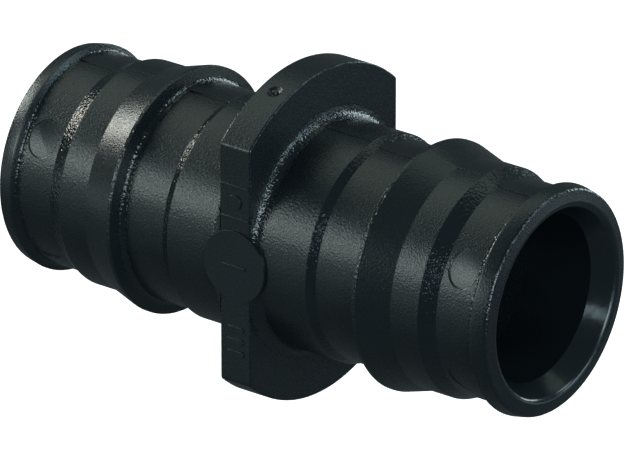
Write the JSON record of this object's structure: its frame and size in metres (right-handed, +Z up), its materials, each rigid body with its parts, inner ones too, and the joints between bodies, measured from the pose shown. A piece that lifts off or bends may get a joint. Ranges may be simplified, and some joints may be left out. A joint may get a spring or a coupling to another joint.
{
  "type": "barbed pipe coupling",
  "caption": "Straight barbed coupling for plastic pipe: two mirrored ribbed spigots, a stop flange with two flats, and a through bore with coned mouths.",
  "frame": {"origin": "centre of the bore in the middle of the stop flange", "axes": "X runs along the bore, Z points up towards the rounded side of the flange, and the two flats face -Y and +Y"},
  "size_m": [0.0464, 0.0194, 0.0264],
  "materials": {
    "moulding": "fine spark-eroded grain, satin black"
  },
  "bodies": {
    "root": {"stop_flange": "moulding", "cavity_pad": "moulding", "raised_marks": "moulding", "left_spigot_root": "moulding", "left_spigot_barb": "moulding", "left_spigot_tip": "moulding", "right_spigot_root": "moulding", "right_spigot_barb": "moulding", "right_spigot_tip": "moulding"}
  },
  "joints": []
}
